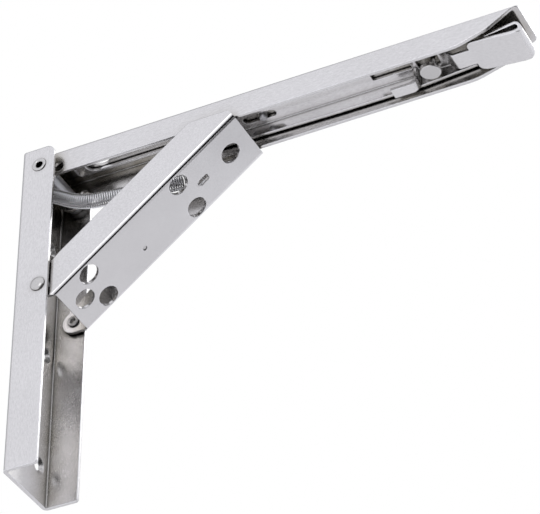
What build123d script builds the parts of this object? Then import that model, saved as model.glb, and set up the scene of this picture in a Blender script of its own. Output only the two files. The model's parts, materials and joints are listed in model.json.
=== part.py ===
from build123d import *
import math
import os

# Folding drop leaf table bracket, shown open.
# Frame: X away from the wall, Y across the bracket, Z up. The origin is the centre of the
# wall screw pattern on the wall plane. The pieces are drawn down from the face that carries
# the leaf and raised to that origin when they are written. Lengths are in millimetres.

# Sheet
SHEET = 2.0
BEND = 2.8

OVERCUT = 1.0
SLOT_FLAT = 0.1

# Arm channel, under the leaf
ARM_REACH = 300.0
ARM_HEEL = 3.5
ARM_WIDTH = 31.6
ARM_DEPTH = 16.5
ARM_TIP_ROUND = 3.0
ARM_TAPER_FOOT = ARM_REACH - 36.0
ARM_TAPER_KNEE = (ARM_REACH - 18.5, 11.3)
ARM_TAPER_TOP = (ARM_REACH - 3.6, 2.3)
ARM_FOOT_ROUND = 30.0
ARM_KNEE_ROUND = 20.0
ARM_LOBE_R = 7.5
ARM_SIDE_HOLE = (20.3, 11.9)
ARM_SIDE_HOLE_R = 3.4
ARM_PORT_X = 38.2
ARM_PORT_R = 5.2
LEAF_HOLE_R = 2.6
LEAF_HOLE_X = ARM_REACH - 81.0
LEAF_HOLE_PITCH = 130.0

# Brace channel, in its own plane: length along the slope and depth in from the web
BRACE_ANGLE = 38.5
BRACE_FOOT_Z = -124.0
BRACE_SIDE_GAP = 1.7
BRACE_WIDTH = ARM_WIDTH + 2 * (SHEET + BRACE_SIDE_GAP)
BRACE_DEPTH = 20.7
BRACE_WEB_START = 31.2
BRACE_LOBE_R = 7.2
BRACE_KNEE = 50.0
BRACE_KNEE_ROUND = 30.0
BRACE_TOP_GAP = 13.8
BRACE_TOP_ROUND = 6.0
BRACE_HEAD_ROUND = 1.5
BRACE_ACCESS_R = 6.1
BRACE_PAIR_LOW = 52.3
BRACE_PAIR_HIGH = 121.9
BRACE_SINGLE_LOW = 41.6
BRACE_SINGLE_HIGH = 155.6
HOOK_SLOT_S = 134.7
HOOK_SLOT_LENGTH = 6.6
HOOK_SLOT_WIDTH = 4.2
HOOK_SLOT_ROUND = 1.0
DIMPLE = (84.9, 5.1)
DIMPLE_R = 1.4
DIMPLE_DEPTH = 0.5
SEAT_GAP = 0.1

# Wall channel, outside the brace
WALL_SIDE_GAP = 1.0
WALL_WIDTH = BRACE_WIDTH + 2 * (SHEET + WALL_SIDE_GAP)
WALL_DEPTH = 21.0
WALL_DROP = 0.5
WALL_LENGTH = 213.0
WALL_TOP_ROUND = 5.0
WALL_FOOT_ROUND = 1.5
WALL_HOLE_R = 2.75
WALL_SINK_R = 5.4
WALL_SINK = 1.6
WALL_HOLE_TOP = 46.5
WALL_HOLE_FOOT = 22.5
WALL_HOLE_PITCH_Y = WALL_WIDTH - 22.8
WALL_HOLE_PITCH_Z = (WALL_LENGTH - WALL_HOLE_TOP - WALL_HOLE_FOOT) / 2
ORIGIN_DROP = WALL_DROP + WALL_HOLE_TOP + WALL_HOLE_PITCH_Z

# Pivots
PIVOT_X = 11.7
PIVOT_Z = -12.3
TUBE_R = 3.5
TUBE_BORE_R = 2.85
TUBE_HEAD_R = 4.3
TUBE_HEAD = 0.7
TUBE_RIM = 0.4
SPACER_R = 4.6
BUSH_R = 5.4
RIVET_X = 15.3
RIVET_Z = -97.1
RIVET_R = 2.5
RIVET_HEAD_R = 4.3
RIVET_HEAD = 1.7
RIVET_RIM = 1.0
RIVET_INNER_R = 3.3
RIVET_INNER = 1.2
WASHER_R = 5.6
RUN_FIT = 0.05
END_PLAY = 0.1

# Release bar, sliding under the arm web
BAR_SHEET = 1.8
BAR_SIDE_GAP = 1.3
BAR_WIDTH = ARM_WIDTH - 2 * (SHEET + BAR_SIDE_GAP)
BAR_GAP = 0.4
BAR_BEND = 2.4
BAR_START = 104.0

# Pull handle, measured back from the tip of the arm
HANDLE_LENGTH = 32.0
HANDLE_START = ARM_REACH - HANDLE_LENGTH
HANDLE_WIDTH = BAR_WIDTH - 1.0
HANDLE_ROUND = 4.0
HANDLE_DEPTH = 15.4
HANDLE_FLAT = 3.0
HANDLE_BEND = 8.0
ROLL_R = 3.1
ROLL_TOP_R = 2.6
HEM_START = ARM_REACH - 21.0
HEM_GAP = 0.25
NECK_LENGTH = 10.0
NECK_WIDTH = 12.0
NECK_ROUND = 0.5
NECK_LAP = 4.0
STEP_END = HANDLE_START - NECK_LENGTH
STEP_START = STEP_END - 9.0
STEP_DEPTH = 12.7
STEP_BEND = 2.0
STEP_LEAD = 2.0

# Guide stud under the arm web
STUD_X = HANDLE_START - 25.0
STUD_R = 3.0
STUD_HEAD_R = 5.0
STUD_HEAD = 3.0
STUD_RIM = 0.4
STUD_DROP = 15.0

# Stop stud under the arm web
PEG_X = 140.0
PEG_Y = 4.1
PEG_R = 2.3
PEG_RIM = 0.5
PEG_DROP = 6.2

# Openings of the release bar
BAR_EDGE = (
    (BAR_START, 10.3),
    (183.0, 11.9),
    (STUD_X - 9.0, 12.0),
    (HANDLE_START - 2.0, 9.4),
)
TAIL_START = 21.0
TAIL_LAP = 4.0
TAIL_WIDTH = BAR_WIDTH - 10.2
TAIL_ROUND = 3.0
TAIL_SLOT_START = 29.0
TAIL_SLOT_LENGTH = 68.0
TAIL_SLOT_WIDTH = TAIL_WIDTH - 4.0
GUIDE_SLOT_END = PEG_X + 7.7
GUIDE_SLOT_LENGTH = 20.0
GUIDE_SLOT_WIDTH = 5.2
WINDOW_END = STUD_X - 12.0
WINDOW_LENGTH = 23.5
WINDOW_WIDTH = 8.4
WINDOW_ROUND = 0.8
PORT_START = STUD_X - 8.8
PORT_END = STEP_START - 1.5
PORT_WIDTH = BAR_WIDTH - 8.6
PORT_ROUND = 4.0
WEB_END = STEP_START + 3.0
WEB_ROUND = 3.0

# Hook turned down from the release bar
HOOK_STEM_X = STUD_X - 9.8
HOOK_END = HOOK_STEM_X - 15.7
HOOK_BOTTOM = 15.6
HOOK_BEND = 4.2
HOOK_WIDTH = 7.0
HOOK_FAR_Y = BAR_WIDTH / 2 - 1.9
HOOK_NEAR_Y = HOOK_FAR_Y - HOOK_WIDTH

# Assist spring
SPRING_R = 4.4
SPRING_BORE_R = 3.15
SPRING_START = (9.2, -21.9)
SPRING_KNEE = (30.5, -34.4)
SPRING_END = (94.0, -37.5)
SPRING_KNEE_R = 48.0
SPRING_SIDE_Y = -6.5
SPRING_CAP = 1.25
WIRE_R = 0.62
WIRE_BEND = 1.3
WALL_HOOK = (1.0, -7.0, -17.0)
WALL_HOOK_R = 2.0
CATCH_LENGTH = 4.4
CATCH_GAP = 0.3

ANGLE = math.radians(BRACE_ANGLE)
ARM_FRAME = Plane(origin=(0, 0, 0), x_dir=(1, 0, 0), z_dir=(0, 0, -1))
WALL_FRAME = Plane(origin=(0, 0, -WALL_DROP), x_dir=(0, 0, -1), z_dir=(1, 0, 0))
BRACE_FRAME = Plane(
    origin=(0, 0, BRACE_FOOT_Z),
    x_dir=(math.cos(ANGLE), 0, math.sin(ANGLE)),
    z_dir=(-math.sin(ANGLE), 0, math.cos(ANGLE)),
)
ACCESS_Y = WALL_HOLE_PITCH_Y / 2
WALL_INNER = WALL_WIDTH / 2 - SHEET
ARM_OUTER = ARM_WIDTH / 2
ARM_INNER = ARM_OUTER - SHEET
BRACE_OUTER = BRACE_WIDTH / 2
BRACE_INNER = BRACE_OUTER - SHEET
BAR_TOP = SHEET + BAR_GAP
BAR_UNDER = BAR_TOP + BAR_SHEET


def brace_point(x, z):
    """Length and depth in the brace's plane of a world point."""
    rise = z - BRACE_FOOT_Z
    along = x * math.cos(ANGLE) + rise * math.sin(ANGLE)
    depth = rise * math.cos(ANGLE) - x * math.sin(ANGLE)
    return along, depth


def outline(points):
    """Flat face from (x, y, corner radius) points."""
    face = Polygon(*[(x, y) for x, y, _ in points], align=None)
    for x, y, radius in points:
        if radius > 0:
            corner = min(face.vertices(), key=lambda v: (v.X - x) ** 2 + (v.Y - y) ** 2)
            face = fillet(corner, radius)
    return face


def bent_strip(points, sheet):
    """Side view of a bent sheet from (x, y, bend radius) points on its middle line."""
    sides = ([], [])
    last = len(points) - 1
    for i, (x, y, radius) in enumerate(points):
        before = points[max(i - 1, 0)]
        after = points[min(i + 1, last)]
        heading_in = math.atan2(y - before[1], x - before[0])
        heading_out = math.atan2(after[1] - y, after[0] - x)
        if i == 0:
            heading_in = heading_out
        if i == last:
            heading_out = heading_in
        turn = math.remainder(heading_out - heading_in, math.tau)
        normal = heading_in + turn / 2 + math.pi / 2
        for side, edge in zip((1, -1), sides):
            reach = side * sheet / 2 / math.cos(turn / 2)
            bend = radius - side * math.copysign(sheet / 2, turn) if radius else 0
            edge.append((x + reach * math.cos(normal), y + reach * math.sin(normal), bend))
    return outline(sides[0] + sides[1][::-1])


def side_plate(face, low, high):
    """Solid whose side view is the face, from low to high across the channel."""
    return extrude(Plane.XZ.offset(-high) * face, amount=high - low, dir=(0, -1, 0))


def post(x, y, start, end, radius):
    """Round bar standing on the web of a channel frame."""
    height = end - start
    bar = Cylinder(radius, height, align=(Align.CENTER, Align.CENTER, Align.MIN))
    return Pos(x, y, start) * bar


def web_hole(x, y, radius):
    """Cutter for a round hole through the web of a channel frame."""
    return post(x, y, -OVERCUT, SHEET + OVERCUT, radius)


def cross_bar(x, z, low, high, radius):
    """Round bar across the bracket, along Y."""
    bar = Cylinder(radius, high - low, align=(Align.CENTER, Align.CENTER, Align.MIN))
    return Pos(x, low, z) * Rot(-90, 0, 0) * bar


def slot(start, length, y, width, low, high, radius):
    """Rounded slot cutter along the channel."""
    block = Box(length, width, high - low, align=(Align.MIN, Align.CENTER, Align.MIN))
    block = fillet(block.edges().filter_by(Axis.Z), min(radius, width / 2 - SLOT_FLAT))
    return Pos(start, y, low) * block


def channel(start, end, width, depth, sheet, bend):
    """Bent channel along X with its web on Z = 0 and its flanges standing to the depth."""
    align = (Align.MIN, Align.CENTER, Align.MIN)
    length = end - start
    outer = Box(length, width, depth, align=align)
    outer = fillet(outer.edges().filter_by(Axis.X).group_by(Axis.Z)[0], bend)
    inner = Pos(0, 0, sheet) * Box(length, width - 2 * sheet, depth, align=align)
    inner = fillet(inner.edges().filter_by(Axis.X).group_by(Axis.Z)[0], bend - sheet)
    return Pos(start, 0, 0) * (outer - inner)


def tangent_point(point, centre, radius):
    """Left hand point where a line from the point touches the circle."""
    run = (centre[0] - point[0], centre[1] - point[1])
    span = math.hypot(*run)
    heading = math.atan2(run[1], run[0]) + math.asin(radius / span)
    reach = math.sqrt(span ** 2 - radius ** 2)
    return point[0] + reach * math.cos(heading), point[1] + reach * math.sin(heading)


def wall_channel():
    """Channel screwed to the wall, with countersunk screw holes and two pivot holes."""
    body = channel(0, WALL_LENGTH, WALL_WIDTH, WALL_DEPTH, SHEET, BEND)
    face = outline([
        (0, 0, 0),
        (WALL_LENGTH, 0, 0),
        (WALL_LENGTH, WALL_DEPTH, WALL_FOOT_ROUND),
        (0, WALL_DEPTH, WALL_TOP_ROUND),
    ])
    body = body & side_plate(face, -WALL_WIDTH, WALL_WIDTH)
    align = (Align.CENTER, Align.CENTER, Align.MAX)
    sink = Cone(WALL_HOLE_R, WALL_SINK_R, WALL_SINK, align=align)
    for row in range(3):
        x = WALL_HOLE_TOP + row * WALL_HOLE_PITCH_Z
        for y in (-ACCESS_Y, ACCESS_Y):
            body -= web_hole(x, y, WALL_HOLE_R)
            body -= Pos(x, y, SHEET) * sink
    body -= web_hole(-WALL_HOOK[2] - WALL_DROP, WALL_HOOK[1], WALL_HOOK_R)
    body = WALL_FRAME.location * body
    body -= cross_bar(PIVOT_X, PIVOT_Z, -WALL_WIDTH, WALL_WIDTH, TUBE_R + RUN_FIT)
    body -= cross_bar(RIVET_X, RIVET_Z, -WALL_WIDTH, WALL_WIDTH, RIVET_R + RUN_FIT)
    return body


def arm_channel():
    """Channel under the leaf, tapered at the tip and rounded about the pivot."""
    body = channel(ARM_HEEL, ARM_REACH, ARM_WIDTH, ARM_DEPTH, SHEET, BEND)
    face = outline([
        (ARM_HEEL, 0, 0),
        (ARM_REACH, 0, 0),
        (ARM_REACH, SHEET / 2, 0),
        (*ARM_TAPER_TOP, 0),
        (*ARM_TAPER_KNEE, ARM_KNEE_ROUND),
        (ARM_TAPER_FOOT, ARM_DEPTH, ARM_FOOT_ROUND),
        (PIVOT_X, ARM_DEPTH, 0),
        (ARM_HEEL, -PIVOT_Z, 0),
    ])
    body = body & side_plate(face, -ARM_WIDTH, ARM_WIDTH)
    for low in (-ARM_OUTER, ARM_INNER):
        body += cross_bar(PIVOT_X, -PIVOT_Z, low, low + SHEET, ARM_LOBE_R)
    depth = 2 * ARM_DEPTH
    plan = slot(-depth, ARM_REACH + depth, 0, ARM_WIDTH, -OVERCUT, depth, ARM_TIP_ROUND)
    body = body & plan
    body -= cross_bar(PIVOT_X, -PIVOT_Z, -ARM_WIDTH, ARM_WIDTH, TUBE_R + RUN_FIT)
    body -= cross_bar(*ARM_SIDE_HOLE, -ARM_WIDTH, ARM_WIDTH, ARM_SIDE_HOLE_R)
    body -= web_hole(ARM_PORT_X, 0, ARM_PORT_R)
    for x in (LEAF_HOLE_X, LEAF_HOLE_X - LEAF_HOLE_PITCH):
        body -= web_hole(x, 0, LEAF_HOLE_R)
    return ARM_FRAME.location * body


def brace_channel():
    """Sloping channel that straddles the arm and bears on its edges when open."""
    seat_z = -ARM_DEPTH - SEAT_GAP
    web_end = (seat_z - BRACE_FOOT_Z - SHEET * math.cos(ANGLE)) / math.sin(ANGLE)
    top_z = -BRACE_TOP_GAP
    top_s = (top_z - BRACE_FOOT_Z - BRACE_DEPTH * math.cos(ANGLE)) / math.sin(ANGLE)
    end_d = (top_z - BRACE_FOOT_Z - web_end * math.sin(ANGLE)) / math.cos(ANGLE)
    centre = brace_point(RIVET_X, RIVET_Z)
    start = (BRACE_WEB_START, 0)
    touch = tangent_point(start, centre, BRACE_LOBE_R)
    face = outline([
        (*start, 0),
        (web_end, 0, 0),
        (web_end, end_d, BRACE_HEAD_ROUND),
        (top_s, BRACE_DEPTH, BRACE_TOP_ROUND),
        (BRACE_KNEE, BRACE_DEPTH, BRACE_KNEE_ROUND),
        (centre[0], centre[1] + BRACE_LOBE_R, 0),
        (*touch, 0),
    ])
    face += Pos(*centre) * Circle(BRACE_LOBE_R)
    body = channel(0, web_end, BRACE_WIDTH, BRACE_DEPTH, SHEET, BEND)
    body = body & side_plate(face, -BRACE_WIDTH, BRACE_WIDTH)
    align = (Align.MIN, Align.CENTER, Align.MIN)
    body -= Pos(0, 0, -OVERCUT) * Box(BRACE_WEB_START, 2 * BRACE_INNER, BRACE_DEPTH, align=align)
    holes = [(s, y) for s in (BRACE_PAIR_LOW, BRACE_PAIR_HIGH) for y in (-ACCESS_Y, ACCESS_Y)]
    holes += [(BRACE_SINGLE_LOW, 0), (BRACE_SINGLE_HIGH, 0)]
    for s, y in holes:
        body -= web_hole(s, y, BRACE_ACCESS_R)
    start = HOOK_SLOT_S - HOOK_SLOT_LENGTH / 2
    high = SHEET + OVERCUT
    body -= slot(start, HOOK_SLOT_LENGTH, 0, HOOK_SLOT_WIDTH, -OVERCUT, high, HOOK_SLOT_ROUND)
    body -= post(*DIMPLE, -OVERCUT, DIMPLE_DEPTH, DIMPLE_R)
    body = BRACE_FRAME.location * body
    body -= cross_bar(RIVET_X, RIVET_Z, -WALL_WIDTH, WALL_WIDTH, RIVET_R + RUN_FIT)
    return body


def pivot_tube():
    """Hollow rivet through the wall and arm channels, with a turned head at each end."""
    half = WALL_WIDTH / 2
    tube = cross_bar(PIVOT_X, PIVOT_Z, -half - TUBE_HEAD, half + TUBE_HEAD, TUBE_R)
    for low in (-half - TUBE_HEAD, half):
        tube += cross_bar(PIVOT_X, PIVOT_Z, low, low + TUBE_HEAD, TUBE_HEAD_R)
    rims = tube.edges().group_by(Axis.Y)
    tube = chamfer(rims[0] + rims[-1], TUBE_RIM)
    return tube - cross_bar(PIVOT_X, PIVOT_Z, -WALL_WIDTH, WALL_WIDTH, TUBE_BORE_R)


def collar(low, high, radius):
    """Round collar on the pivot tube between two places across the bracket."""
    body = cross_bar(PIVOT_X, PIVOT_Z, low, high, radius)
    return body - cross_bar(PIVOT_X, PIVOT_Z, -WALL_WIDTH, WALL_WIDTH, TUBE_R + RUN_FIT)


def brace_rivet(side):
    """Solid rivet with a bevelled head outside the wall flange and a flat one inside."""
    half = WALL_WIDTH / 2
    inner = BRACE_INNER - END_PLAY
    shank = cross_bar(RIVET_X, RIVET_Z, inner - RIVET_INNER, half, RIVET_R)
    foot = cross_bar(RIVET_X, RIVET_Z, inner - RIVET_INNER, inner, RIVET_INNER_R)
    head = cross_bar(RIVET_X, RIVET_Z, half, half + RIVET_HEAD, RIVET_HEAD_R)
    head = chamfer(head.edges().group_by(Axis.Y)[-1], RIVET_RIM)
    body = shank + foot + head
    return body if side > 0 else mirror(body, about=Plane.XZ)


def brace_washer(side):
    """Thin washer between the brace and wall flanges."""
    low = BRACE_OUTER + END_PLAY
    high = WALL_INNER - END_PLAY
    body = cross_bar(RIVET_X, RIVET_Z, low, high, WASHER_R)
    body -= cross_bar(RIVET_X, RIVET_Z, 0, WALL_WIDTH, RIVET_R + RUN_FIT)
    return body if side > 0 else mirror(body, about=Plane.XZ)


def bar_body():
    """Flanged part of the release bar, its tail and its openings."""
    start, end = BAR_EDGE[0][0], BAR_EDGE[-1][0]
    depth = max(edge for _, edge in BAR_EDGE)
    body = channel(start, end, BAR_WIDTH, depth - BAR_TOP, BAR_SHEET, BAR_BEND)
    body = Pos(0, 0, BAR_TOP) * body
    edges = [(x, edge, 0) for x, edge in reversed(BAR_EDGE)]
    face = outline([(start, 0, 0), (end, 0, 0)] + edges)
    body = body & side_plate(face, -BAR_WIDTH, BAR_WIDTH)
    length = start + TAIL_LAP - TAIL_START
    tail = Box(length, TAIL_WIDTH, BAR_SHEET, align=(Align.MIN, Align.CENTER, Align.MIN))
    tail = fillet(tail.edges().filter_by(Axis.Z).group_by(Axis.X)[0], TAIL_ROUND)
    body += Pos(TAIL_START, 0, BAR_TOP) * tail
    openings = [
        (TAIL_SLOT_START, TAIL_SLOT_LENGTH, 0, TAIL_SLOT_WIDTH, TAIL_SLOT_WIDTH / 2),
        (
            GUIDE_SLOT_END - GUIDE_SLOT_LENGTH,
            GUIDE_SLOT_LENGTH,
            -PEG_Y,
            GUIDE_SLOT_WIDTH,
            GUIDE_SLOT_WIDTH / 2,
        ),
        (WINDOW_END - WINDOW_LENGTH, WINDOW_LENGTH, 0, WINDOW_WIDTH, WINDOW_ROUND),
        (PORT_START, PORT_END - PORT_START, 0, PORT_WIDTH, PORT_ROUND),
        (WEB_END, HANDLE_LENGTH, 0, BAR_WIDTH - 2 * BAR_BEND, WEB_ROUND),
    ]
    for x, run, y, width, radius in openings:
        body -= slot(x, run, y, width, BAR_TOP - OVERCUT, BAR_UNDER + OVERCUT, radius)
    return body


def bar_hook():
    """Tab turned down from the bar beside the window, its foot pointing to the wall."""
    middle = BAR_TOP + BAR_SHEET / 2
    stem = HOOK_STEM_X - BAR_SHEET / 2
    foot = HOOK_BOTTOM - BAR_SHEET / 2
    points = [
        (PORT_START, middle, 0),
        (stem, middle, 0),
        (stem, foot, HOOK_BEND),
        (HOOK_END, foot, 0),
    ]
    face = bent_strip(points, BAR_SHEET)
    return side_plate(face, -HOOK_FAR_Y, -HOOK_NEAR_Y)


def bar_handle():
    """Stepped neck and pull plate, with the end of the sheet rolled back over the plate."""
    middle = BAR_TOP + BAR_SHEET / 2
    tip = ARM_REACH - BAR_SHEET / 2
    flat = tip - ROLL_R - HANDLE_FLAT
    slope = (HANDLE_DEPTH - STEP_DEPTH) / (flat - HANDLE_START)
    hem_depth = STEP_DEPTH + slope * (HEM_START - HANDLE_START) - BAR_SHEET - HEM_GAP
    points = [
        (STEP_START - STEP_LEAD, middle, 0),
        (STEP_START, middle, STEP_BEND),
        (STEP_END, STEP_DEPTH, STEP_BEND),
        (HANDLE_START, STEP_DEPTH, HANDLE_BEND),
        (flat, HANDLE_DEPTH, HANDLE_BEND),
        (tip, HANDLE_DEPTH, ROLL_R * 0.99),
        (tip, HANDLE_DEPTH - 2 * ROLL_R, ROLL_TOP_R),
        (HEM_START, hem_depth, 0),
    ]
    strip = side_plate(bent_strip(points, BAR_SHEET), -HANDLE_WIDTH, HANDLE_WIDTH)
    start = STEP_START - STEP_LEAD
    run = HANDLE_START + NECK_LAP - start
    room = 2 * HANDLE_DEPTH
    neck = slot(start, run, 0, NECK_WIDTH, 0, room, NECK_ROUND)
    grip = slot(HANDLE_START, HANDLE_LENGTH, 0, HANDLE_WIDTH, 0, room, HANDLE_ROUND)
    return strip & (neck + grip)


def release_bar():
    """Sliding bar with the hook near its front end and the pull handle at the tip."""
    return ARM_FRAME.location * (bar_body() + bar_hook() + bar_handle())


def guide_stud():
    """Headed stud under the arm web that stands in the bar's front opening."""
    body = post(STUD_X, 0, SHEET, STUD_DROP, STUD_R)
    head = post(STUD_X, 0, STUD_DROP - STUD_HEAD, STUD_DROP, STUD_HEAD_R)
    head = chamfer(head.edges().filter_by(GeomType.CIRCLE), STUD_RIM)
    return ARM_FRAME.location * (body + head)


def stop_stud():
    """Short stud under the arm web that stands in the bar's guide slot."""
    body = post(PEG_X, -PEG_Y, SHEET, PEG_DROP, PEG_R)
    body = chamfer(body.edges().group_by(Axis.Z)[-1], PEG_RIM)
    return ARM_FRAME.location * body


def spring_point(x, z):
    """Point of the spring's line, which leans to the near side at the wall end."""
    share = (SPRING_END[0] - x) / (SPRING_END[0] - SPRING_START[0])
    return Vector(x, SPRING_SIDE_Y * share, z)


def hook_wire(points):
    """Round wire with bent corners through the points."""
    path = FilletPolyline(*points, radius=WIRE_BEND)
    ring = Plane(origin=path @ 0, z_dir=path % 0)
    return sweep(ring * Circle(WIRE_R), path=path)


def assist_spring():
    """Closed coil tension spring with a wire hook at each end, drawn as a bowed tube."""
    middle = [spring_point(*place) for place in (SPRING_START, SPRING_KNEE, SPRING_END)]
    path = FilletPolyline(*middle, radius=SPRING_KNEE_R)
    ring = Plane(origin=path @ 0, z_dir=path % 0)
    body = sweep(ring * (Circle(SPRING_R) - Circle(SPRING_BORE_R)), path=path)
    cap = Cylinder(SPRING_R, SPRING_CAP, align=(Align.CENTER, Align.CENTER, Align.MIN))
    body += Plane(origin=path @ 0, z_dir=path % 0) * cap
    body += Plane(origin=path @ 1, z_dir=-(path % 1)) * cap
    elbow = path @ 0 - (path % 0) * (SPRING_R + WIRE_BEND)
    body += hook_wire([path @ 0 + (path % 0) * WIRE_R, elbow, Vector(*WALL_HOOK)])
    outside = -WIRE_R - CATCH_GAP
    inside = 2 * SHEET
    catch = [(HOOK_SLOT_S, inside), (HOOK_SLOT_S, outside), (HOOK_SLOT_S - CATCH_LENGTH, outside)]
    turns = [BRACE_FRAME.from_local_coords(Vector(s, 0, d)) for s, d in catch]
    body += hook_wire([path @ 1 - (path % 1) * WIRE_R] + turns)
    return body


PARTS = {
    "wall_channel": wall_channel(),
    "arm_channel": arm_channel(),
    "brace_channel": brace_channel(),
    "pivot_tube": pivot_tube(),
    "pivot_spacer": collar(-ARM_INNER + END_PLAY, ARM_INNER - END_PLAY, SPACER_R),
    "pivot_bush_near": collar(-WALL_INNER + END_PLAY, -ARM_OUTER - END_PLAY, BUSH_R),
    "pivot_bush_far": collar(ARM_OUTER + END_PLAY, WALL_INNER - END_PLAY, BUSH_R),
    "brace_rivet_near": brace_rivet(-1),
    "brace_rivet_far": brace_rivet(1),
    "brace_washer_near": brace_washer(-1),
    "brace_washer_far": brace_washer(1),
    "release_bar": release_bar(),
    "guide_stud": guide_stud(),
    "stop_stud": stop_stud(),
    "assist_spring": assist_spring(),
}

os.makedirs("parts", exist_ok=True)
for name, shape in PARTS.items():
    export_step(Pos(0, 0, ORIGIN_DROP) * shape, f"parts/{name}.step")
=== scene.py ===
"""Folding drop leaf table bracket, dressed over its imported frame.

The bracket stands open: wall channel upright, arm level, brace between them. Lengths are in
metres in the frame of the part, with X away from the wall, Y across and Z up.
"""

import json
import logging
import math
from dataclasses import dataclass
from enum import Enum
from typing import Callable

import bmesh
import bpy
from mathutils import Matrix, Vector

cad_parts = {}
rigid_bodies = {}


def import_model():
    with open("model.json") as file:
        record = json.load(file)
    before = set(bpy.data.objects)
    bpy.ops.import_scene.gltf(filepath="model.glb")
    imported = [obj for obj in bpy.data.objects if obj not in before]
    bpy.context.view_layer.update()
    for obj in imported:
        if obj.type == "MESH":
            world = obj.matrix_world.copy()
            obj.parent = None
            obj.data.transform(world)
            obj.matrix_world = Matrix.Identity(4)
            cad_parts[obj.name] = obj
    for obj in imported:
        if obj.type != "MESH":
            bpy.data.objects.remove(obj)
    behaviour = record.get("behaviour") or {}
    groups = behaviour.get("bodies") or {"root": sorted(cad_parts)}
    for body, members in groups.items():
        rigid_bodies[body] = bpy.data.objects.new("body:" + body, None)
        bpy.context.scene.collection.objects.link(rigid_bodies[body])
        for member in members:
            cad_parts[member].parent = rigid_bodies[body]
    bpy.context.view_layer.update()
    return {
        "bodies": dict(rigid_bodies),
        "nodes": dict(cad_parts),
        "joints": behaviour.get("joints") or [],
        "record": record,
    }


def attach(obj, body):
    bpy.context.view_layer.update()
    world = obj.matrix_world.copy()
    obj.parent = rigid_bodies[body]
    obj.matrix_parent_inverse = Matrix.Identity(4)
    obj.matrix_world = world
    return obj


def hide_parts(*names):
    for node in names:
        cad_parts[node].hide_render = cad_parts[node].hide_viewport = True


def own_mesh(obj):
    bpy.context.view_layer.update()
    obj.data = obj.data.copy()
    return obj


LOG = logging.getLogger("bracket")
MILLIMETRE = 0.001
MERGE_DISTANCE = 1e-6

Colour = tuple[float, float, float]
Point = tuple[float, float, float]
Outline = tuple[tuple[float, float], ...]
Number = bpy.types.NodeSocket | float
Tint = bpy.types.NodeSocket | Colour

# Noises of the finishes: middle value, features to the metre, and detail.
NOISE_MIDDLE = 0.5
GRAIN_DETAIL = 3.0
CLOUD_SCALE, CLOUD_DETAIL = 28.0, 4.0
PATCH_SCALE, PATCH_DETAIL = 130.0, 4.0
# The last row makes the painted edge highlight patchy.
HIGHLIGHT_PATCH_SCALE, HIGHLIGHT_PATCH_DETAIL = 300.0, 2.0

# How far the grain and the clouds shade the metal.
GRAIN_SHADE = 0.3
CLOUD_SHADE = 0.6

# How creases darken with painted shade, and how evenly the painted highlight lies along the
# edges.
CREASE_GAIN = 1.8
CREASE_FALL = 1.5
HIGHLIGHT_EVENNESS = 0.45

# Rays that the recess and edge nodes send out.
RECESS_SAMPLES = 8
EDGE_SAMPLES = 6


class Ray(Enum):
    """Kinds of light path the studio answers in its own way."""

    CAMERA = "Is Camera Ray"
    GLOSSY = "Is Glossy Ray"
    TRANSMISSION = "Is Transmission Ray"


class Grain(Enum):
    """Way in which the rolling grain of a sheet runs, as a stretch along X, Y and Z."""

    ALONG_X = (0.3, 1.0, 1.0)
    ALONG_Z = (1.0, 1.0, 0.3)
    ALONG_BRACE = (0.6, 1.0, 0.7)
    NONE = (1.0, 1.0, 1.0)


def new_group(name: str, inputs: dict[str, float], outputs: list[str]) -> bpy.types.NodeTree:
    """Start a shader node group with plain number sockets.

    Args:
        name: Name of the group.
        inputs: Input names with their starting values.
        outputs: Output names.

    Returns:
        The group, with its input and output nodes added.
    """
    group = bpy.data.node_groups.new(name, "ShaderNodeTree")
    for label, value in inputs.items():
        socket = group.interface.new_socket(label, in_out="INPUT", socket_type="NodeSocketFloat")
        socket.default_value = value
    for label in outputs:
        group.interface.new_socket(label, in_out="OUTPUT", socket_type="NodeSocketFloat")
    group.nodes.new("NodeGroupInput").name = "in"
    group.nodes.new("NodeGroupOutput").name = "out"
    return group


def place_group(
    tree: bpy.types.NodeTree, group: bpy.types.NodeTree, values: dict[str, float]
) -> bpy.types.Node:
    """Put a node group into a material with the values of one finish.

    Args:
        tree: Node tree of the material.
        group: The group.
        values: Input names with the values that they get.

    Returns:
        The group's node.
    """
    node = tree.nodes.new("ShaderNodeGroup")
    node.node_tree = group
    for label, value in values.items():
        node.inputs[label].default_value = value
    return node


def feed(tree: bpy.types.NodeTree, slot: bpy.types.NodeSocket, value: Number | Tint) -> None:
    """Link a socket into an input, or set the input to a fixed value.

    Args:
        tree: Tree that holds both nodes.
        slot: Input that is fed.
        value: Socket to link, or the value to set.
    """
    if isinstance(value, bpy.types.NodeSocket):
        tree.links.new(value, slot)
    elif slot.type == "RGBA":
        slot.default_value = (*value, 1.0)
    else:
        slot.default_value = value


def math_node(
    tree: bpy.types.NodeTree, operation: str, first: Number, second: Number
) -> bpy.types.NodeSocket:
    """Join two values with a Math node.

    Args:
        tree: Tree that gets the node.
        operation: Name of the operation.
        first: Socket or number.
        second: Socket or number.

    Returns:
        The output socket.
    """
    node = tree.nodes.new("ShaderNodeMath")
    node.operation = operation
    for slot, value in zip(node.inputs, (first, second)):
        feed(tree, slot, value)
    return node.outputs[0]


def vector_node(
    tree: bpy.types.NodeTree, operation: str, first: Tint, second: Tint
) -> bpy.types.Node:
    """Join two vectors or colours with a Vector Math node.

    Args:
        tree: Tree that gets the node.
        operation: Name of the operation.
        first: Socket or vector.
        second: Socket or vector.

    Returns:
        The node, with its Vector and Value outputs.
    """
    node = tree.nodes.new("ShaderNodeVectorMath")
    node.operation = operation
    for slot, value in zip(node.inputs, (first, second)):
        feed(tree, slot, value)
    return node


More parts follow.
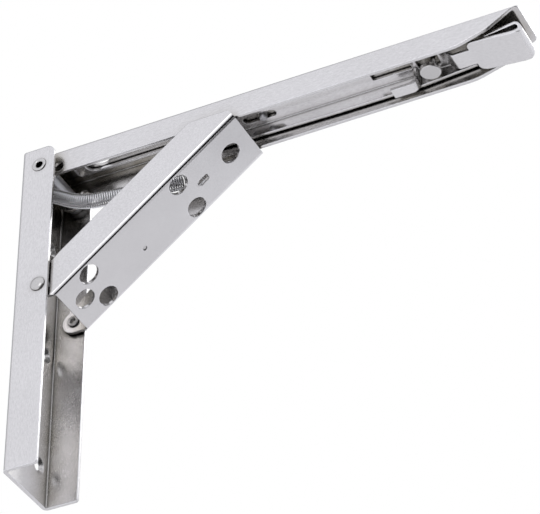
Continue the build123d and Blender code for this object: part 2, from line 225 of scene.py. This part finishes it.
def blend_colour(
    tree: bpy.types.NodeTree, share: bpy.types.NodeSocket, first: Tint, second: Tint
) -> bpy.types.NodeSocket:
    """Mix two colours by a mask.

    Args:
        tree: Tree that gets the node.
        share: Mask, 0 for the first colour and 1 for the second.
        first: Socket or colour.
        second: Socket or colour.

    Returns:
        The colour socket.
    """
    node = tree.nodes.new("ShaderNodeMix")
    node.data_type = "RGBA"
    tree.links.new(share, node.inputs[0])
    for slot, value in zip(node.inputs[6:8], (first, second)):
        feed(tree, slot, value)
    return node.outputs[2]


def noise_node(
    tree: bpy.types.NodeTree, stretch: Point, scale: Number, detail: float
) -> bpy.types.NodeSocket:
    """Noise on Object coordinates, stretched along the axes.

    Args:
        tree: Tree that gets the nodes.
        stretch: Scale of the coordinates along X, Y and Z.
        scale: Socket or number for the noise scale.
        detail: Detail of the noise.

    Returns:
        The noise value socket.
    """
    place = tree.nodes.new("ShaderNodeTexCoord")
    mapping = tree.nodes.new("ShaderNodeMapping")
    mapping.inputs["Scale"].default_value = stretch
    noise = tree.nodes.new("ShaderNodeTexNoise")
    noise.inputs["Detail"].default_value = detail
    tree.links.new(place.outputs["Object"], mapping.inputs["Vector"])
    tree.links.new(mapping.outputs["Vector"], noise.inputs["Vector"])
    feed(tree, noise.inputs["Scale"], scale)
    return noise.outputs["Fac"]


def covered_share(tree: bpy.types.NodeTree, reach: bpy.types.NodeSocket) -> bpy.types.NodeSocket:
    """Share of the view outwards that other faces take away.

    Args:
        tree: Tree that gets the nodes.
        reach: Socket with the distance that counts as close.

    Returns:
        The share, 0 in the open and 1 in a closed corner.
    """
    open_share = tree.nodes.new("ShaderNodeAmbientOcclusion")
    open_share.samples = RECESS_SAMPLES
    tree.links.new(reach, open_share.inputs["Distance"])
    return math_node(tree, "SUBTRACT", 1.0, open_share.outputs["AO"])


def grain_group(grain: Grain) -> bpy.types.NodeTree:
    """Fine rolling grain and soft clouding of a plated sheet, built once per direction.

    Args:
        grain: Way in which the grain runs.

    Returns:
        Group with Roughness, Shade and Height outputs.
    """
    name = f"sheet_grain_{grain.name.lower()}"
    if name in bpy.data.node_groups:
        return bpy.data.node_groups[name]
    inputs = {"Roughness": 0.3, "Spread": 0.1, "Scale": 900.0, "Cloud": 0.1}
    group = new_group(name, inputs, ["Roughness", "Shade", "Height"])
    source = group.nodes["in"].outputs
    target = group.nodes["out"].inputs
    fine = noise_node(group, grain.value, source["Scale"], GRAIN_DETAIL)
    cloud = noise_node(group, Grain.NONE.value, CLOUD_SCALE, CLOUD_DETAIL)
    swing = math_node(group, "SUBTRACT", fine, NOISE_MIDDLE)
    spread = math_node(group, "MULTIPLY", swing, source["Spread"])
    drift = math_node(group, "SUBTRACT", cloud, NOISE_MIDDLE)
    drift = math_node(group, "MULTIPLY", drift, source["Cloud"])
    rough = math_node(group, "ADD", math_node(group, "ADD", source["Roughness"], spread), drift)
    shade = math_node(group, "ADD", math_node(group, "MULTIPLY", swing, GRAIN_SHADE), 1.0)
    clouded = math_node(group, "MULTIPLY", drift, CLOUD_SHADE)
    shade = math_node(group, "SUBTRACT", shade, clouded)
    group.links.new(rough, target["Roughness"])
    group.links.new(shade, target["Shade"])
    group.links.new(fine, target["Height"])
    return group


def recess_shade_group() -> bpy.types.NodeTree:
    """Patchy painted shade where other faces stand close, built once.

    Returns:
        Group with an output for the patchy painted shade, from 0 in the open to 1 in a deep
        corner, one for a deeper painted shade that starts further in, and one for the painted
        shade of creases that stays within Near of another face.
    """
    name = "recess_painted_shade"
    if name in bpy.data.node_groups:
        return bpy.data.node_groups[name]
    inputs = {"Reach": 0.012, "Fall": 3.0, "Patches": 1.6, "Near": 0.0016}
    group = new_group(name, inputs, ["Film", "Deep", "Crease"])
    source = group.nodes["in"].outputs
    target = group.nodes["out"].inputs
    # Painted shade: the colour darkens by how much other faces close in around the point.
    film = covered_share(group, source["Reach"])
    group.links.new(math_node(group, "POWER", film, source["Fall"]), target["Deep"])
    crease = covered_share(group, source["Near"])
    crease = math_node(group, "MINIMUM", math_node(group, "MULTIPLY", crease, CREASE_GAIN), 1.0)
    group.links.new(math_node(group, "POWER", crease, CREASE_FALL), target["Crease"])
    patch = noise_node(group, Grain.NONE.value, PATCH_SCALE, PATCH_DETAIL)
    patch = math_node(group, "SUBTRACT", patch, NOISE_MIDDLE)
    patch = math_node(group, "ADD", math_node(group, "MULTIPLY", patch, source["Patches"]), 1.0)
    group.links.new(math_node(group, "MULTIPLY", film, patch), target["Film"])
    return group


def edge_highlight_group() -> bpy.types.NodeTree:
    """Rounded cut edges with a painted highlight along them, built once.

    Returns:
        Group with an output for the painted highlight, 1 on a sharp edge, and the rounded Normal.
    """
    name = "edge_painted_highlight"
    if name in bpy.data.node_groups:
        return bpy.data.node_groups[name]
    group = new_group(name, {"Radius": 0.0005, "Gain": 6.0}, ["Wear"])
    group.interface.new_socket("Normal", in_out="OUTPUT", socket_type="NodeSocketVector")
    source = group.nodes["in"].outputs
    target = group.nodes["out"].inputs
    rounded = group.nodes.new("ShaderNodeBevel")
    rounded.samples = EDGE_SAMPLES
    group.links.new(source["Radius"], rounded.inputs["Radius"])
    surface = group.nodes.new("ShaderNodeNewGeometry").outputs["Normal"]
    # Painted highlight: the further the rounded normal turns from the face, the brighter the
    # colour.
    match = vector_node(group, "DOT_PRODUCT", rounded.outputs["Normal"], surface)
    turned = math_node(group, "SUBTRACT", 1.0, match.outputs["Value"])
    highlight = math_node(group, "MULTIPLY", turned, source["Gain"])
    patchiness = noise_node(group, Grain.NONE.value, HIGHLIGHT_PATCH_SCALE, HIGHLIGHT_PATCH_DETAIL)
    patchiness = math_node(group, "ADD", patchiness, HIGHLIGHT_EVENNESS)
    highlight = math_node(group, "MULTIPLY", highlight, patchiness)
    group.links.new(math_node(group, "MINIMUM", highlight, 1.0), target["Wear"])
    group.links.new(rounded.outputs["Normal"], target["Normal"])
    return group


@dataclass(frozen=True)
class Steel:
    """One bright metal finish, with painted shade in its recesses and a painted highlight on its
    edges.
    """

    name: str
    colour: Colour
    roughness: float
    grain: Grain = Grain.NONE
    spread: float = 0.14
    scale: float = 1500.0
    cloud: float = 0.17
    bump: float = 0.01
    bump_depth: float = 0.0002
    # The fields down to the deep colour set the painted shade in recesses and creases.
    film: float = 0.45
    shade_reach: float = 0.014
    shade_fall: float = 3.0
    crease: float = 1.0
    near: float = 0.0016
    recess_shade_colour: Colour = (0.38, 0.35, 0.28)
    deep_shade_colour: Colour = (0.04, 0.038, 0.034)
    # The edge colour and its fall set the painted highlight on the edges.
    edge_highlight_colour: Colour = (0.88, 0.88, 0.89)
    edge_radius: float = 0.001
    highlight_fall: float = 2.0

    def recess_shaded(self, tree: bpy.types.NodeTree, recess: bpy.types.Node) -> bpy.types.NodeSocket:
        """Colour of the metal with painted shade, patchy in recesses and darkest in deep corners
        and creases.

        Args:
            tree: Node tree of the material.
            recess: The placed group of the painted recess shade.

        Returns:
            The colour socket.
        """
        film = math_node(tree, "MULTIPLY", recess.outputs["Film"], self.film)
        colour = blend_colour(tree, film, self.colour, self.recess_shade_colour)
        colour = blend_colour(tree, recess.outputs["Deep"], colour, self.deep_shade_colour)
        crease = math_node(tree, "MULTIPLY", recess.outputs["Crease"], self.crease)
        return blend_colour(tree, crease, colour, self.deep_shade_colour)

    def highlighted(
        self,
        tree: bpy.types.NodeTree,
        recess: bpy.types.Node,
        edge: bpy.types.Node,
        colour: bpy.types.NodeSocket,
    ) -> bpy.types.NodeSocket:
        """Colour with a painted highlight on the edges, kept off the painted recess shade.

        Args:
            tree: Node tree of the material.
            recess: The placed group of the painted recess shade.
            edge: The placed group of the painted edge highlight.
            colour: Colour before the painted highlight.

        Returns:
            The colour socket.
        """
        # Painted highlight, kept off the painted recess shade and out of creases.
        clear = math_node(tree, "SUBTRACT", 1.0, recess.outputs["Film"])
        tight = math_node(tree, "SUBTRACT", 1.0, recess.outputs["Crease"])
        clear = math_node(tree, "MULTIPLY", math_node(tree, "MAXIMUM", clear, 0.0), tight)
        clear = math_node(tree, "POWER", clear, self.highlight_fall)
        highlight = math_node(tree, "MULTIPLY", edge.outputs["Wear"], clear)
        return blend_colour(tree, highlight, colour, self.edge_highlight_colour)

    def material(self) -> bpy.types.Material:
        """Build the finish, or fetch it when it has been built.

        Returns:
            The material.
        """
        if self.name in bpy.data.materials:
            return bpy.data.materials[self.name]
        material = bpy.data.materials.new(self.name)
        material.use_nodes = True
        tree = material.node_tree
        shader = tree.nodes["Principled BSDF"]
        shader.inputs["Metallic"].default_value = 1.0
        look = {
            "Roughness": self.roughness,
            "Spread": self.spread,
            "Scale": self.scale,
            "Cloud": self.cloud,
        }
        texture = place_group(tree, grain_group(self.grain), look)
        # Painted shade: the recess group darkens the colour where other faces stand close.
        depths = {"Reach": self.shade_reach, "Fall": self.shade_fall, "Near": self.near}
        recess = place_group(tree, recess_shade_group(), depths)
        colour = self.recess_shaded(tree, recess)
        bump = tree.nodes.new("ShaderNodeBump")
        bump.inputs["Strength"].default_value = self.bump
        bump.inputs["Distance"].default_value = self.bump_depth
        # Painted highlight: the edge group lightens the colour along sharp edges; its rounded
        # normal only bends the real shading.
        if self.edge_radius > 0:
            edge = place_group(tree, edge_highlight_group(), {"Radius": self.edge_radius})
            colour = self.highlighted(tree, recess, edge, colour)
            tree.links.new(edge.outputs["Normal"], bump.inputs["Normal"])
        tint = tree.nodes.new("ShaderNodeVectorMath")
        tint.operation = "SCALE"
        tree.links.new(colour, tint.inputs[0])
        tree.links.new(texture.outputs["Shade"], tint.inputs["Scale"])
        tree.links.new(tint.outputs["Vector"], shader.inputs["Base Color"])
        tree.links.new(texture.outputs["Roughness"], shader.inputs["Roughness"])
        tree.links.new(texture.outputs["Height"], bump.inputs["Height"])
        tree.links.new(bump.outputs["Normal"], shader.inputs["Normal"])
        return material


SHEET_COLOUR: Colour = (0.765, 0.755, 0.755)
# Each sheet's recess settings set its painted shade in corners and creases.
WALL_SHEET = Steel(
    "wall_sheet", SHEET_COLOUR, 0.23, Grain.ALONG_Z, film=0.9, shade_reach=0.02, shade_fall=2.4,
    near=0.003,
)
ARM_SHEET = Steel(
    "arm_sheet", SHEET_COLOUR, 0.23, Grain.ALONG_X, film=1.0, shade_reach=0.02, shade_fall=3.6,
)
BRACE_SHEET = Steel("brace_sheet", SHEET_COLOUR, 0.15, Grain.ALONG_BRACE, edge_radius=0.0006)
BAR_SHEET = Steel("bar_sheet", (0.8, 0.79, 0.79), 0.2, Grain.ALONG_X, film=0.25, shade_reach=0.005)
TURNED = Steel("turned_steel", (0.64, 0.63, 0.62), 0.2, spread=0.06)
BUSHING = Steel("bush_steel", (0.5, 0.5, 0.5), 0.34)
# The wire keeps only the deep painted shade, close between its turns.
WIRE = Steel(
    "spring_wire", (0.96, 0.96, 0.96), 0.4, spread=0.05, film=0.0, shade_reach=0.0012,
    shade_fall=4.0, crease=0.0, edge_radius=0.0,
)


@dataclass
class Assembly:
    """Nodes of the frame that belong together, each with its finish."""

    frame: dict
    finishes: tuple[tuple[str, Steel], ...]

    def dress(self) -> None:
        """Give each piece its finish."""
        for node, finish in self.finishes:
            part = self.frame["nodes"][node]
            part.data.materials.clear()
            part.data.materials.append(finish.material())
            LOG.info("dressed %s with %s", node, finish.name)


@dataclass
class WallSide(Assembly):
    """Wall channel with the pivot and rivet pieces that it carries."""

    finishes: tuple[tuple[str, Steel], ...] = (
        ("wall_channel", WALL_SHEET),
        ("pivot_tube", TURNED),
        ("pivot_spacer", BUSHING),
        ("pivot_bush_near", BUSHING),
        ("pivot_bush_far", BUSHING),
        ("brace_rivet_near", TURNED),
        ("brace_rivet_far", TURNED),
        ("brace_washer_near", BUSHING),
        ("brace_washer_far", BUSHING),
    )


@dataclass
class Brace(Assembly):
    """Sloping channel between the wall channel and the arm."""

    finishes: tuple[tuple[str, Steel], ...] = (("brace_channel", BRACE_SHEET),)


@dataclass
class ArmSide(Assembly):
    """Arm channel with its studs and the release bar that slides in it."""

    finishes: tuple[tuple[str, Steel], ...] = (
        ("arm_channel", ARM_SHEET),
        ("guide_stud", TURNED),
        ("stop_stud", BUSHING),
        ("release_bar", BAR_SHEET),
    )


@dataclass(frozen=True)
class Turning:
    """One turned piece: its node and body, its outline in millimetres and its axis."""

    node: str
    name: str
    body: str
    line: Outline
    centre: Point
    axis: Point
    ring: bool = False


@dataclass
class TurnedPieces:
    """Rivets, pivot tube and headed stud, turned with rounded heads and a recess."""

    steps: int = 64
    rim: float = 0.00015
    rim_steps: int = 2
    rim_angle: float = 0.9
    smooth_angle: float = math.radians(40)
    pivot_centre: Point = (0.0117, 0.0, 0.1067)
    rivet_centre: Point = (0.0153, 0.0, 0.0219)
    stud_centre: Point = (0.243, 0.0, 0.119)
    tube_half: Outline = (
        (3.5, 22.5), (4.3, 22.5), (4.3, 22.9), (3.8, 23.2), (2.8, 23.2), (2.2, 22.7),
    )
    rivet_line: Outline = (
        (0.0, 17.6), (1.5, 17.6), (1.8, 16.2), (3.3, 16.2), (3.3, 17.4), (2.5, 17.4), (2.5, 22.5),
        (4.3, 22.5), (4.25, 23.1), (3.7, 23.7), (2.6, 24.05), (1.3, 24.18), (0.0, 24.2),
    )
    stud_line: Outline = (
        (0.0, 2.0), (3.0, 2.0), (3.0, 12.0), (5.9, 12.0), (5.9, 14.6), (5.5, 15.0), (0.0, 15.0),
    )

    def turn(self, turning: Turning) -> bpy.types.Object:
        """Turn an outline round its axis.

        Args:
            turning: The piece's name, outline and axis.

        Returns:
            The turned piece.
        """
        centre, axis, out = Vector(turning.centre), Vector(turning.axis), Vector((1.0, 0.0, 0.0))
        shape = bmesh.new()
        knots = [
            shape.verts.new(centre + (out * radius + axis * height) * MILLIMETRE)
            for radius, height in turning.line
        ]
        pairs = list(zip(knots, knots[1:]))
        if turning.ring:
            pairs.append((knots[-1], knots[0]))
        edges = [shape.edges.new(pair) for pair in pairs]
        bmesh.ops.spin(
            shape, geom=knots + edges, cent=centre, axis=axis, angle=math.tau, steps=self.steps,
            use_merge=True,
        )
        bmesh.ops.remove_doubles(shape, verts=shape.verts, dist=MERGE_DISTANCE)
        bmesh.ops.recalc_face_normals(shape, faces=shape.faces)
        joints = [edge for edge in shape.edges if len(edge.link_faces) == 2]
        sharp = [edge for edge in joints if edge.calc_face_angle() > self.rim_angle]
        bmesh.ops.bevel(
            shape, geom=sharp, offset=self.rim, segments=self.rim_steps, profile=0.5,
            affect="EDGES", material=-1,
        )
        for face in shape.faces:
            face.smooth = True
        mesh = bpy.data.meshes.new(turning.name)
        shape.to_mesh(mesh)
        shape.free()
        mesh.set_sharp_from_angle(angle=self.smooth_angle)
        mesh.materials.append(TURNED.material())
        piece = bpy.data.objects.new(turning.name, mesh)
        bpy.context.scene.collection.objects.link(piece)
        return piece

    def build(self) -> None:
        """Turn every piece and set it in the place of its node."""
        far, near, down = (0.0, 1.0, 0.0), (0.0, -1.0, 0.0), (0.0, 0.0, -1.0)
        tube = self.tube_half + tuple((r, -h) for r, h in reversed(self.tube_half))
        rivet, seat = self.rivet_line, self.rivet_centre
        turnings = (
            Turning("pivot_tube", "flared_tube", "wall", tube, self.pivot_centre, far, ring=True),
            Turning("brace_rivet_near", "near_rivet", "wall", rivet, seat, near),
            Turning("brace_rivet_far", "far_rivet", "wall", rivet, seat, far),
            Turning("guide_stud", "headed_stud", "arm", self.stud_line, self.stud_centre, down),
        )
        for turning in turnings:
            piece = self.turn(turning)
            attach(piece, turning.body)
            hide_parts(turning.node)
            LOG.info("turned %s in the place of %s", turning.name, turning.node)


@dataclass
class AssistSpring:
    """Closed coil tension spring that bows under the pivot, with a hook at each end."""

    start: tuple[float, float] = (0.0092, 0.0971)
    knee: tuple[float, float] = (0.0305, 0.0846)
    end: tuple[float, float] = (0.094, 0.0815)
    knee_radius: float = 0.048
    side_y: float = -0.0065
    coil_radius: float = 0.0044
    wire_radius: float = 0.00048
    wire_rounding: int = 2
    pitch: float = 0.00142
    steps_per_turn: int = 16
    wall_hook: Point = (0.001, -0.007, 0.102)
    hook_bend: float = 0.45
    hook_run: float = 0.0018
    brace_foot_z: float = -0.005
    brace_angle: float = math.radians(38.5)
    slot_along: float = 0.1347
    slot_catch: float = 0.0044
    slot_lead: float = 0.002
    slot_gap: float = 0.0003
    sheet: float = 0.002
    fold_anchor: Point = (0.0075, 0.0, 0.09)
    fold_keep: float = 0.08

    def place(self, x: float, z: float) -> Vector:
        """Point of the spring's line, which leans to the near side at the wall."""
        share = (self.end[0] - x) / (self.end[0] - self.start[0])
        return Vector((x, self.side_y * share, z))

    def on_brace(self, along: float, depth: float) -> Vector:
        """Point on the middle plane of the brace.

        Args:
            along: Distance up the brace from its foot.
            depth: Distance above the outer face of its web.

        Returns:
            The point.
        """
        cos, sin = math.cos(self.brace_angle), math.sin(self.brace_angle)
        x = along * cos - depth * sin
        z = self.brace_foot_z + along * sin + depth * cos
        return Vector((x, 0.0, z))

    def middle_line(self) -> tuple[Callable[[float], tuple[Vector, Vector]], float]:
        """Two straight runs joined by a tangent arc.

        Returns:
            A function that gives the point and the heading at a length along the line, and the
            length of the whole line.
        """
        first, corner, last = (self.place(*p) for p in (self.start, self.knee, self.end))
        run_in, run_out = (corner - first).normalized(), (last - corner).normalized()
        turn = run_in.angle(run_out)
        setback = self.knee_radius * math.tan(turn / 2)
        straight = (corner - first).length - setback
        bow = self.knee_radius * turn
        touch = corner - run_in * setback
        inward = (run_out - run_in * run_in.dot(run_out)).normalized()

        def at(length: float) -> tuple[Vector, Vector]:
            """Find where the line is at a length from its start.

            Args:
                length: Length from the wall end.

            Returns:
                The point and the heading there.
            """
            if length <= straight:
                return first + run_in * length, run_in
            if length <= straight + bow:
                angle = (length - straight) / self.knee_radius
                side = inward * (self.knee_radius * (1 - math.cos(angle)))
                point = touch + run_in * (self.knee_radius * math.sin(angle)) + side
                return point, run_in * math.cos(angle) + inward * math.sin(angle)
            rest = length - straight - bow
            return corner + run_out * (setback + rest), run_out

        return at, straight + bow + (last - corner).length - setback

    def coil_points(self) -> list[Vector]:
        """Points of the wire's middle, hook to hook.

        Returns:
            The points, from the wall hook through every turn to the brace hook.
        """
        at, length = self.middle_line()
        reach = self.coil_radius - self.wire_radius
        count = round(length / self.pitch) * self.steps_per_turn
        points = []
        for i in range(count + 1):
            point, heading = at(length * i / count)
            side = heading.cross(Vector((0.0, 1.0, 0.0))).normalized()
            across = heading.cross(side)
            angle = math.tau * i / self.steps_per_turn
            lift, swing = reach * math.cos(angle), reach * math.sin(angle)
            points.append(point + side * lift + across * swing)
        first, heading_in = at(0.0)
        last, heading_out = at(length)
        hook = Vector(self.wall_hook)
        outside = -self.wire_radius - self.slot_gap
        wall_end = [
            hook,
            hook + (first - hook) * self.hook_bend,
            first - heading_in * self.hook_run,
        ]
        brace_end = [
            last + heading_out * self.hook_run,
            self.on_brace(self.slot_along, self.sheet + self.slot_lead),
            self.on_brace(self.slot_along, outside),
            self.on_brace(self.slot_along - self.slot_catch, outside),
        ]
        return wall_end + points + brace_end

    def build(self) -> bpy.types.Object:
        """Make the coil as one round wire and hang it between wall and brace.

        Returns:
            The finished piece.
        """
        curve = bpy.data.curves.new("coil_line", "CURVE")
        curve.dimensions = "3D"
        curve.bevel_depth = self.wire_radius
        curve.bevel_resolution = self.wire_rounding
        curve.use_fill_caps = True
        points = self.coil_points()
        spline = curve.splines.new("POLY")
        spline.points.add(len(points) - 1)
        for knot, point in zip(spline.points, points):
            knot.co = (*point, 1.0)
        line = bpy.data.objects.new("coil_line", curve)
        bpy.context.scene.collection.objects.link(line)
        bpy.context.view_layer.update()
        mesh = bpy.data.meshes.new_from_object(line)
        bpy.data.objects.remove(line)
        spring = bpy.data.objects.new("assist_coil", mesh)
        bpy.context.scene.collection.objects.link(spring)
        mesh.materials.clear()
        mesh.materials.append(WIRE.material())
        for face in mesh.polygons:
            face.use_smooth = True
        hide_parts("assist_spring")
        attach(spring, "wall")
        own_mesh(spring)
        LOG.info("coiled the assist spring from %d points", len(points))
        return spring


@dataclass(frozen=True)
class Flag:
    """Darker patch of the surroundings: its middle, the cosines of its edge and its shade."""

    way: Point
    fade: tuple[float, float]
    shade: Colour


@dataclass(frozen=True)
class Lamp:
    """Soft square lamp: its place, the length of its edge and its power in watts."""

    name: str
    place: Point
    size: float
    power: float


@dataclass
class Studio:
    """Camera, lamps, pale floor and white surroundings."""

    location: Point = (0.65283, -1.03683, -0.85286)
    azimuth: float = math.radians(26.06)
    elevation: float = math.radians(-36.84)
    roll: float = math.radians(-0.21)
    lens: float = 180.285
    sensor: float = 36.0
    clip_end: float = 50.0
    floor_place: Point = (-4.5, 5.85, -1.3)
    floor_size: float = 12.0
    floor_colour: Colour = (0.81, 0.81, 0.83)
    floor_roughness: float = 0.9
    white: Colour = (1.0, 1.0, 1.0)
    surroundings: Colour = (0.87, 0.875, 0.92)
    room_light: Colour = (0.86, 0.86, 0.88)
    low_flag: Flag = Flag((0.8, -0.07, -0.595), (0.66, 0.74), (0.005, 0.005, 0.005))
    high_flag: Flag = Flag((-0.6, 0.3, 0.742), (0.7, 0.95), (0.5, 0.5, 0.5))
    lamp_aim: Point = (0.12, 0.0, 0.04)
    lamps: tuple[Lamp, ...] = (
        Lamp("front_panel", (0.17, -1.6, 0.25), 0.5, 1.2),
        Lamp("back_right_panel", (0.65, 1.15, 1.1), 0.5, 1.8),
        Lamp("top_panel", (0.3, 0.6, 1.8), 1.2, 2.8),
    )

    def heading(self) -> Vector:
        """Find the way that the camera looks.

        Returns:
            The direction, of length 1.
        """
        level = math.cos(self.elevation)
        return Vector((
            -math.sin(self.azimuth) * level,
            math.cos(self.azimuth) * level,
            -math.sin(self.elevation),
        ))

    def set_camera(self) -> None:
        """Set the camera at the photograph's viewing angle."""
        ahead = self.heading()
        right = ahead.cross(Vector((0.0, 0.0, 1.0))).normalized()
        up = right.cross(ahead)
        across = right * math.cos(self.roll) + up * math.sin(self.roll)
        rise = up * math.cos(self.roll) - right * math.sin(self.roll)
        data = bpy.data.cameras.new("camera")
        data.lens = self.lens
        data.sensor_width = self.sensor
        data.clip_end = self.clip_end
        camera = bpy.data.objects.new("camera", data)
        turn = Matrix((across, rise, -ahead)).transposed().to_4x4()
        camera.matrix_world = Matrix.Translation(self.location) @ turn
        bpy.context.scene.collection.objects.link(camera)
        bpy.context.scene.camera = camera

    def shade_flag(
        self, tree: bpy.types.NodeTree, place: bpy.types.NodeSocket, flag: Flag
    ) -> bpy.types.NodeSocket:
        """Lay a darker patch on the surroundings.

        Args:
            tree: Node tree of the world.
            place: Socket with the direction looked in.
            flag: The patch.

        Returns:
            A colour, white outside the patch.
        """
        facing = vector_node(tree, "DOT_PRODUCT", place, flag.way)
        ramp = tree.nodes.new("ShaderNodeValToRGB")
        outside, middle = ramp.color_ramp.elements
        outside.position, outside.color = flag.fade[0], (*self.white, 1.0)
        middle.position, middle.color = flag.fade[1], (*flag.shade, 1.0)
        tree.links.new(facing.outputs["Value"], ramp.inputs["Fac"])
        return ramp.outputs["Color"]

    def surround(self) -> None:
        """Set white surroundings, with two darker flags that only the metal shows."""
        world = bpy.data.worlds.new("studio")
        bpy.context.scene.world = world
        world.use_nodes = True
        tree = world.node_tree
        tree.nodes.clear()
        place = tree.nodes.new("ShaderNodeTexCoord").outputs["Generated"]
        low = self.shade_flag(tree, place, self.low_flag)
        high = self.shade_flag(tree, place, self.high_flag)
        both = vector_node(tree, "MULTIPLY", low, high).outputs["Vector"]
        shown = vector_node(tree, "MULTIPLY", both, self.surroundings).outputs["Vector"]
        path = tree.nodes.new("ShaderNodeLightPath")
        camera = path.outputs[Ray.CAMERA.value]
        seen = tree.nodes.new("ShaderNodeBackground")
        feed(tree, seen.inputs["Color"], blend_colour(tree, camera, shown, self.white))
        room = tree.nodes.new("ShaderNodeBackground")
        feed(tree, room.inputs["Color"], self.room_light)
        rays = math_node(tree, "MAXIMUM", camera, path.outputs[Ray.GLOSSY.value])
        rays = math_node(tree, "MAXIMUM", rays, path.outputs[Ray.TRANSMISSION.value])
        mix = tree.nodes.new("ShaderNodeMixShader")
        tree.links.new(rays, mix.inputs["Fac"])
        tree.links.new(room.outputs["Background"], mix.inputs[1])
        tree.links.new(seen.outputs["Background"], mix.inputs[2])
        output = tree.nodes.new("ShaderNodeOutputWorld")
        tree.links.new(mix.outputs["Shader"], output.inputs["Surface"])

    def lay_floor(self) -> None:
        """Lay a plain pale floor far below the bracket, clear of the low flag."""
        bpy.ops.mesh.primitive_plane_add(size=self.floor_size, location=self.floor_place)
        floor = bpy.context.object
        floor.name = "floor"
        material = bpy.data.materials.new("pale_floor")
        material.use_nodes = True
        shader = material.node_tree.nodes["Principled BSDF"]
        shader.inputs["Base Color"].default_value = (*self.floor_colour, 1.0)
        shader.inputs["Roughness"].default_value = self.floor_roughness
        floor.data.materials.append(material)

    def hang_lamp(self, lamp: Lamp) -> None:
        """Hang one lamp that points at the middle of the bracket.

        Args:
            lamp: The lamp.
        """
        data = bpy.data.lights.new(lamp.name, "AREA")
        data.size = lamp.size
        data.energy = lamp.power
        panel = bpy.data.objects.new(lamp.name, data)
        aim = Vector(self.lamp_aim) - Vector(lamp.place)
        panel.rotation_euler = aim.to_track_quat("-Z", "Y").to_euler()
        panel.location = lamp.place
        bpy.context.scene.collection.objects.link(panel)

    def build(self) -> None:
        """Set up everything that isn't the bracket."""
        bpy.context.scene.view_settings.view_transform = "Standard"
        self.set_camera()
        self.surround()
        self.lay_floor()
        for lamp in self.lamps:
            self.hang_lamp(lamp)


def main() -> None:
    """Load the frame, dress every piece and set up the studio."""
    logging.basicConfig(level=logging.INFO, format="%(name)s: %(message)s")
    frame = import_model()
    Studio().build()
    WallSide(frame).dress()
    Brace(frame).dress()
    ArmSide(frame).dress()
    TurnedPieces().build()
    AssistSpring().build()


if __name__ == "__main__":
    main()
